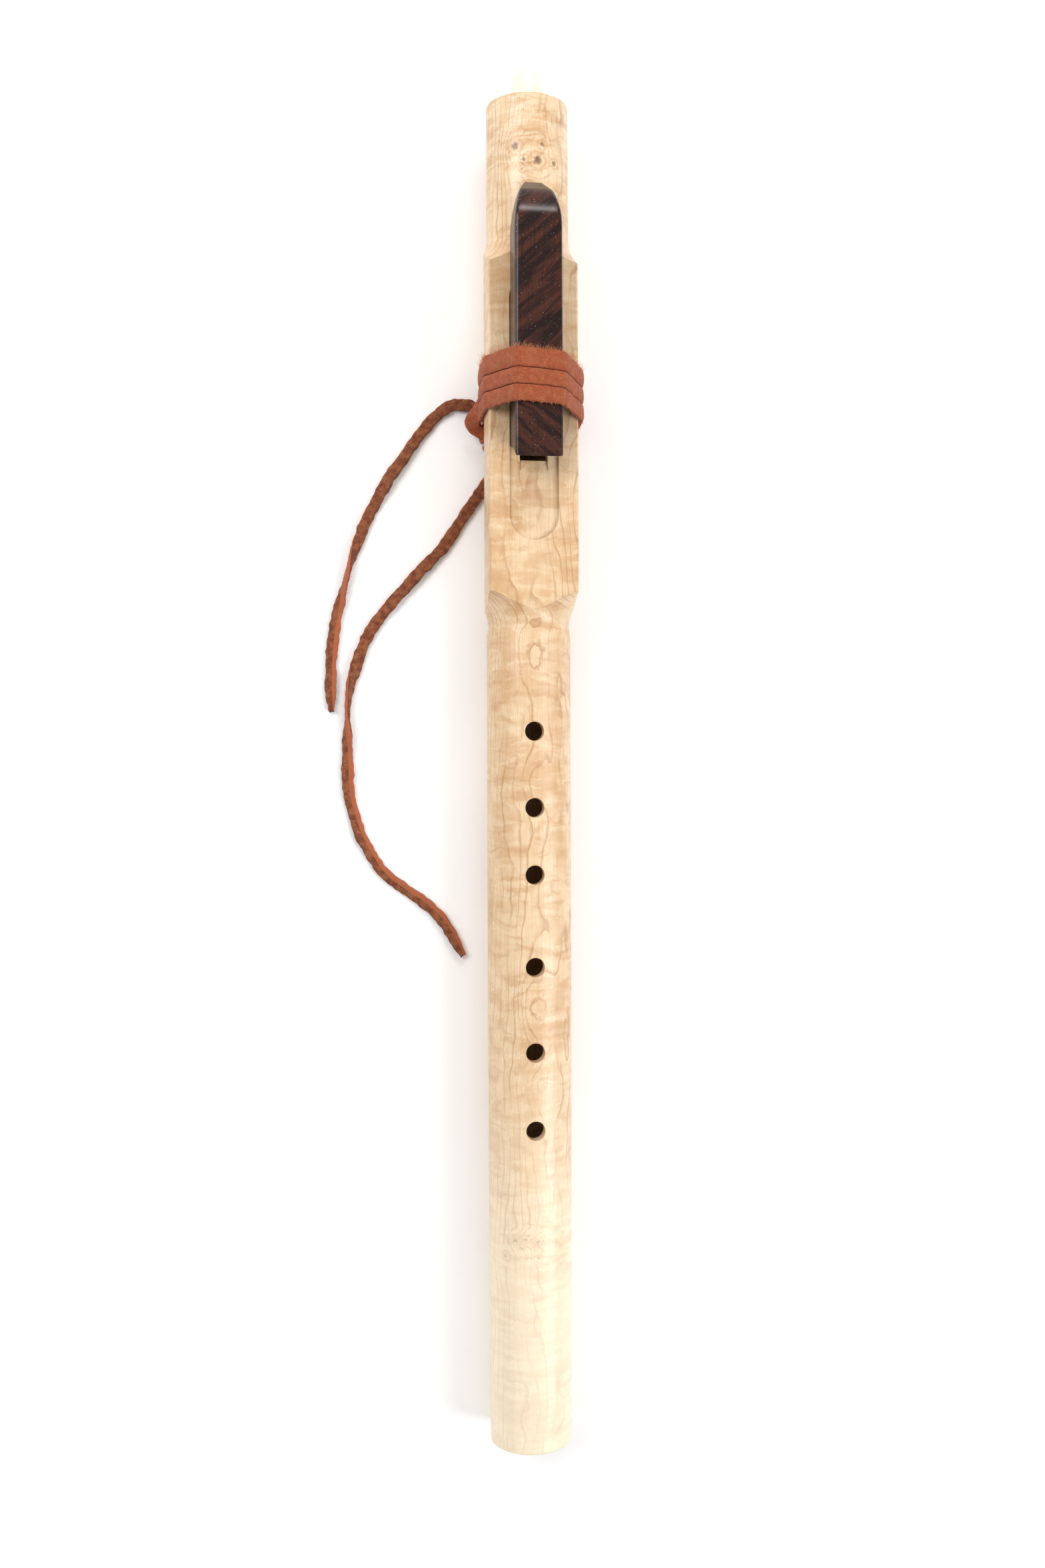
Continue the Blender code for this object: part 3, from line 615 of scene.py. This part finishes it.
def rough(point, scale, seed):
    """Smooth noise in -1..1 at a point."""
    return noise.noise(Vector((point.x * scale, point.y * scale, point.z * scale + seed)))


def half_outline(points):
    """Lower side of sorted points: those that a string pulled under them touches."""
    kept = []
    for x, y in points:
        while len(kept) > 1:
            (ax, ay), (bx, by) = kept[-2:]
            if (bx - ax) * (y - ay) - (by - ay) * (x - ax) > 0:
                break
            kept.pop()
        kept.append((x, y))
    return kept[:-1]


def taut_loop(offset, step):
    """Even points of a taut path round the block and the body, and the path's length.

    The path starts straight below the body and goes up the left side first.
    """
    ease, corner = 0.0020, 0.0012
    discs = [((0.0, AXIS_Z), NEST_HALF_WIDTH)]
    for side in (-1, 1):
        discs.append(((side * (NEST_HALF_WIDTH - corner), NEST_Z - corner), corner))
        discs.append(((side * (BLOCK_HALF_WIDTH - ease), BLOCK_TOP_Z - ease), ease))
    cloud = []
    for (x, z), radius in discs:
        for i in range(360):
            angle = math.radians(i)
            cloud.append((x + (radius + offset) * math.cos(angle), z + (radius + offset) * math.sin(angle)))
    cloud.sort()
    hull = half_outline(cloud) + half_outline(cloud[::-1])
    hull.reverse()
    start = min(range(len(hull)), key=lambda i: hull[i][1])
    hull = hull[start:] + hull[:start]
    lengths = [0.0]
    for one, two in zip(hull, hull[1:] + hull[:1]):
        lengths.append(lengths[-1] + math.dist(one, two))
    whole = lengths[-1]
    count = round(whole / step)
    loop, index = [], 0
    for i in range(count):
        goal = whole * i / count
        while lengths[index + 1] < goal:
            index += 1
        share = (goal - lengths[index]) / max(lengths[index + 1] - lengths[index], 1e-12)
        one, two = Vector(hull[index]), Vector(hull[(index + 1) % len(hull)])
        loop.append(one.lerp(two, share))
    return loop, whole


EDGE_STATIONS = (0.42023, 0.41263, 0.40633, 0.39998, 0.39323, 0.38648, 0.37973)
# Part of each turn over which the strap steps one edge towards the foot
STEP_START = 0.42
STEP_LENGTH = 0.50


def edge_station(level):
    """Station of the winding's edge number level: 0 is its head edge, 1 and 2 its seams, 3 its foot edge."""
    index = min(int(level), len(EDGE_STATIONS) - 2)
    return EDGE_STATIONS[index] + (EDGE_STATIONS[index + 1] - EDGE_STATIONS[index]) * (level - index)


def winding_rungs():
    """(middle in x and z, outward direction, foot edge y, head edge y) along the winding."""
    loop, whole = taut_loop(SEAT_GAP + STRAP_THICKNESS / 2, 0.00055)
    count = len(loop)
    radius = NEST_HALF_WIDTH + SEAT_GAP + STRAP_THICKNESS / 2
    first = round(radius * STRAP_START_ANGLE / whole * count)
    last = round((3 + radius * STRAP_END_ANGLE / whole) * count)
    rungs = []
    for i in range(first, last + 1):
        here = loop[i % count]
        run = loop[(i + 1) % count] - loop[(i - 1) % count]
        out = Vector((-run.y, run.x)).normalized()
        if out.dot(here - Vector((0.0, AXIS_Z + 0.006))) < 0:
            out = -out
        turn, within = divmod(i, count)
        share = within / count
        way = min(max((share - STEP_START) / STEP_LENGTH, 0.0), 1.0)
        level = turn + way * way * (3 - 2 * way)
        angle = share * 2 * math.pi
        edges = []
        for number in (level + 1, level):
            wobble = noise.noise(Vector((math.cos(angle) * 5, math.sin(angle) * 5, number * 3)))
            edges.append(FOOT_Y + edge_station(number) + 0.00022 * wobble)
        rungs.append((here, out, *edges))
    return rungs


def make_winding(rungs):
    """The strap's three turns as one unbroken band, its outer face a little uneven."""
    rings = []
    for here, out, foot, head in rungs:
        ring = []
        for across, up in SECTION:
            y = (foot + head) / 2 + across * (head - foot) / 2 * 0.985
            lift = up * STRAP_THICKNESS / 2
            if up > 0:
                lift += 0.00022 * rough(Vector((here.x, y, here.y)), 190, 4.0)
                lift -= 0.00020 * abs(across) ** 2
            z = here.y + out.y * lift
            ring.append((here.x + out.x * lift, y, max(z, 0.0001)))
        rings.append(ring)
    settle(skin("leather_winding", rings, RIMS), "flute", STRAP, "tan_leather", "strap_winding")


def smooth_points(guide, step):
    """Even points on a smooth curve through the guide points, and the curve's length."""
    ends = [guide[0] * 2 - guide[1]] + list(guide) + [guide[-1] * 2 - guide[-2]]
    fine = []
    for a, b, c, d in zip(ends, ends[1:], ends[2:], ends[3:]):
        for i in range(24):
            t = i / 24
            fine.append(0.5 * (2 * b + (c - a) * t + (2 * a - 5 * b + 4 * c - d) * t * t
                               + (3 * b - a - 3 * c + d) * t ** 3))
    fine.append(guide[-1])
    lengths = [0.0]
    for one, two in zip(fine, fine[1:]):
        lengths.append(lengths[-1] + (two - one).length)
    count = max(2, round(lengths[-1] / step))
    points, index = [], 0
    for i in range(count + 1):
        goal = lengths[-1] * i / count
        while index < len(fine) - 2 and lengths[index + 1] < goal:
            index += 1
        share = (goal - lengths[index]) / max(lengths[index + 1] - lengths[index], 1e-12)
        points.append(fine[index].lerp(fine[index + 1], min(share, 1.0)))
    return points, lengths[-1]


def eased(stops, share):
    """Value at a share of the way, eased between stops of (share, value)."""
    for (a, one), (b, two) in zip(stops, stops[1:]):
        if share <= b:
            t = min(max((share - a) / (b - a), 0.0), 1.0)
            return one + (two - one) * t * t * (3 - 2 * t)
    return stops[-1][1]


def band(name, points, width, thickness, rolls, seed):
    """A flat band of leather along points, rolled about its line, rough-edged, with a ragged far end."""
    rings = []
    count = len(points)
    for i, point in enumerate(points):
        share = i / (count - 1)
        run = (points[min(i + 1, count - 1)] - points[max(i - 1, 0)]).normalized()
        side = run.cross(Vector((0.0, 0.0, 1.0))).normalized()
        up = side.cross(run)
        roll = math.radians(eased(rolls, share))
        wide = side * math.cos(roll) + up * math.sin(roll)
        thick = up * math.cos(roll) - side * math.sin(roll)
        half = width / 2 * (1.0 + 0.09 * noise.noise(Vector((share * count * 0.11, seed, 0.0))))
        ring = []
        for across, lift in SECTION:
            spread = half * across
            if share > RAGGED_FROM:
                spread *= 1.0 - 0.5 * ((share - RAGGED_FROM) / (1.0 - RAGGED_FROM)) ** 2
            spot = point + wide * spread + thick * (lift * thickness / 2)
            fray = 0.00034 * (0.35 + abs(across)) * rough(spot, 420, seed)
            fray += 0.00030 * rough(spot, 150, seed + 5)
            spot = spot + (wide * across + thick * lift) * fray
            if i >= count - 2:
                spot = spot + run * 0.0016 * noise.noise(Vector((across * 2.7, lift, seed)))
            ring.append((spot.x, spot.y, max(spot.z, 0.00006)))
        rings.append(ring)
    return skin(name, rings, RIMS, SIDES)


def make_thong(name, node, route, rolls, seed):
    """A free end of the strap along its route, laid on the leaning table, with its path and length."""
    flat = [Vector((x, FOOT_Y + station, 0.0)) for x, station in route]
    line, length = smooth_points(flat, THONG_STEP)
    path = []
    for i, point in enumerate(line):
        share = i / (len(line) - 1)
        roll = math.radians(eased(rolls, share))
        rest = 0.5 * (abs(math.sin(roll)) * THONG_WIDTH * 0.9 + abs(math.cos(roll)) * THONG_THICKNESS)
        settled = min(i * THONG_STEP / THONG_SETTLE_LENGTH, 1.0)
        lean = TABLE_LEAN * max(FOOT_Y + STRAP_MIDDLE - point.y, 0.0)
        height = THONG_EXIT_Z + (rest - THONG_EXIT_Z) * settled + lean
        path.append(Vector((point.x, point.y, height)))
    obj = band(name, path, THONG_WIDTH, THONG_THICKNESS, rolls, seed)
    settle(obj, "flute", SUEDE, "tan_leather", node)
    return obj, path, length


STRAP_HAIRS = 900
THONG_HAIRS = 260
HAIR_STEPS = 4
HAIR_CORNERS = (0.0, 2.094, 4.189)


def add_hair(verts, faces, root, way, length, radius, droop):
    """One bent hair with three sides, thinner towards its tip."""
    bend = Vector((CHANCE.uniform(-1, 1), CHANCE.uniform(-1, 1), CHANCE.uniform(-1, 1))) * droop
    side = way.cross(Vector((0.3, 0.5, 0.8))).normalized()
    other = way.cross(side).normalized()
    base = len(verts)
    for i in range(HAIR_STEPS + 1):
        t = i / HAIR_STEPS
        middle = root + way * length * t + bend * t * t
        thin = radius * (1.0 - 0.8 * t)
        for angle in HAIR_CORNERS:
            spot = middle + side * math.cos(angle) * thin + other * math.sin(angle) * thin
            verts.append((spot.x, spot.y, max(spot.z, 0.00005)))
    for i in range(HAIR_STEPS):
        near, far = base + i * 3, base + (i + 1) * 3
        for j in range(3):
            k = (j + 1) % 3
            faces.append((near + j, near + k, far + k, far + j))


def fray_strap(verts, faces, rungs):
    """Hairs along the head edge of the strap's first turn and the foot edge of its last."""
    turn = len(rungs) / 3.1
    for number in range(STRAP_HAIRS):
        at_head = number % 3 != 0
        start, end = (0.10, 0.80) if at_head else (2.05, 2.95)
        here, out, foot, head = rungs[CHANCE.randrange(int(turn * start), int(turn * end))]
        edge, along = (head, 1.0) if at_head else (foot, -1.0)
        lift = CHANCE.uniform(-0.0004, 0.0009)
        root = Vector((here.x + out.x * lift, edge - along * 0.0002, here.y + out.y * lift))
        if root.z < 0.012:
            continue
        stray = Vector((CHANCE.uniform(-0.8, 0.8), 0.0, CHANCE.uniform(-0.3, 0.3)))
        way = (Vector((out.x * 0.35, along, out.y * 0.35)) + stray).normalized()
        reach = CHANCE.uniform(0.0004, 0.0021) * (1.0 if at_head else 0.5)
        add_hair(verts, faces, root, way, reach, CHANCE.uniform(0.00004, 0.00009), 0.5 * reach)


def fray_thong(verts, faces, path):
    """Hairs along both edges of a thong."""
    for _ in range(THONG_HAIRS):
        i = CHANCE.randrange(4, len(path) - 1)
        run = (path[i + 1] - path[i - 1]).normalized()
        side = run.cross(Vector((0, 0, 1))) * CHANCE.choice((-1, 1))
        root = path[i] + side * THONG_WIDTH * 0.42 * CHANCE.uniform(0.5, 1.0)
        root.z = max(path[i].z + CHANCE.uniform(-0.0008, 0.0009), 0.0004)
        way = side + run * CHANCE.uniform(-1.2, 1.2) + Vector((0, 0, CHANCE.uniform(0.0, 0.6)))
        reach = CHANCE.uniform(0.0004, 0.0013)
        radius = CHANCE.uniform(0.00004, 0.00008)
        add_hair(verts, faces, root, way.normalized(), reach, radius, 0.6 * reach)


def make_fuzz(rungs, paths):
    """Short loose fibres along the strap's cut edges and over the thongs."""
    verts, faces = [], []
    fray_strap(verts, faces, rungs)
    for path in paths:
        fray_thong(verts, faces, path)
    mesh = bpy.data.meshes.new("leather_fibres")
    mesh.from_pydata(verts, [], faces)
    obj = bpy.data.objects.new("leather_fibres", mesh)
    SCENE.collection.objects.link(obj)
    return settle(obj, "flute", FUZZ, "tan_leather")


RUNGS = winding_rungs()
make_winding(RUNGS)

# Roll of each thong, as (share of its way, degrees): it lies flat, then twists over
SHORT_ROLLS = ((0.0, 30.0), (0.10, 0.0), (0.34, -18.0), (0.50, 20.0), (0.64, 100.0), (0.74, 172.0),
               (1.0, 190.0))
LONG_ROLLS = ((0.0, 65.0), (0.10, 12.0), (0.30, -16.0), (0.42, 10.0), (0.52, 80.0), (0.60, 165.0),
              (0.74, 190.0), (0.84, 168.0), (1.0, 196.0))
short, SHORT_PATH, SHORT_LENGTH = make_thong(
    "leather_thong_short", "thong_short", SHORT_ROUTE, SHORT_ROLLS, 3.0)
long, LONG_PATH, LONG_LENGTH = make_thong(
    "leather_thong_long", "thong_long", LONG_ROUTE, LONG_ROLLS, 9.0)

# Outer and inner edge of the tab where the strap's last turn folds back
TAB_OUTER = ((-0.0188, 0.1408, 0.0155), (-0.0206, 0.1382, 0.0118), (-0.0231, 0.1352, 0.0088),
             (-0.0234, 0.1322, 0.0064), (-0.0206, 0.1288, 0.0048), (-0.0155, 0.1266, 0.0040))
TAB_INNER = ((-0.0180, 0.1345, 0.0165), (-0.0178, 0.1330, 0.0125), (-0.0178, 0.1322, 0.0100),
             (-0.0176, 0.1316, 0.0085), (-0.0165, 0.1316, 0.0070), (-0.0130, 0.1316, 0.0056))
TAB_HALF_THICKNESS = 0.0009


def make_tab():
    """The strap's last turn, turned out at the lower left and folded back under the flute."""
    outer = smooth_points([Vector(p) for p in TAB_OUTER], 0.0004)[0]
    inner = smooth_points([Vector(p) for p in TAB_INNER], 0.0004)[0]
    rings, count = [], len(outer)
    for i in range(count):
        j = round(i * (len(inner) - 1) / (count - 1))
        wide = (outer[i] - inner[j]) / 2
        middle = (outer[i] + inner[j]) / 2
        run = outer[min(i + 1, count - 1)] - outer[max(i - 1, 0)]
        thick = run.cross(wide).normalized() * TAB_HALF_THICKNESS
        ring = []
        for across, up in SECTION:
            spot = middle + wide * across + thick * up
            spot = spot + wide.normalized() * 0.0003 * across * rough(spot, 400, 2.0)
            ring.append((spot.x, spot.y, max(spot.z, 0.0001)))
        rings.append(ring)
    settle(skin("leather_tab", rings, RIMS), "flute", STRAP, "tan_leather")


make_tab()
make_fuzz(RUNGS, (SHORT_PATH, LONG_PATH))


# Table, light and view

def area_light(name, place, target, size, power):
    data = bpy.data.lights.new(name, "AREA")
    data.shape = "RECTANGLE"
    data.size, data.size_y = size
    data.energy = power
    lamp = bpy.data.objects.new(name, data)
    SCENE.collection.objects.link(lamp)
    lamp.location = place
    lamp.rotation_mode = "QUATERNION"
    lamp.rotation_quaternion = (Vector(target) - Vector(place)).to_track_quat("-Z", "Y")


def add_surroundings():
    bpy.ops.mesh.primitive_plane_add(size=6.0, location=(0.0, 0.0, 0.0))
    floor = bpy.context.object
    floor.name = "white_table"
    floor.location = (0.0, FOOT_Y + STRAP_MIDDLE, -0.0001)
    floor.rotation_euler.x = -math.atan(TABLE_LEAN)
    floor.data.materials.append(WHITE)
    area_light("left_softbox", (-0.95, 0.55, 1.15), (0.0, 0.05, 0.0), (0.75, 0.75), 12.0)
    area_light("right_softbox", (0.95, -0.35, 0.95), (0.0, -0.05, 0.0), (0.8, 0.8), 11.0)
    area_light("head_softbox", (0.05, 1.25, 0.85), (0.0, 0.15, 0.0), (0.6, 0.35), 6.5)
    # The world is white where the camera sees it, and dimmer as light and in reflections
    world = bpy.data.worlds.new("studio")
    SCENE.world = world
    world.use_nodes = True
    net = Net(world.node_tree)
    seen = net.add("ShaderNodeLightPath").outputs
    strength = net.math("ADD", 0.50, net.math("MULTIPLY", seen["Is Camera Ray"], 0.50))
    strength = net.math("SUBTRACT", strength, net.math("MULTIPLY", seen["Is Glossy Ray"], 0.24))
    background = world.node_tree.nodes["Background"]
    background.inputs["Color"].default_value = (1.0, 1.0, 1.0, 1.0)
    net.put(background.inputs["Strength"], strength)


add_camera()
add_surroundings()
SCENE.view_settings.view_transform = "Standard"
bpy.ops.object.select_all(action="DESELECT")
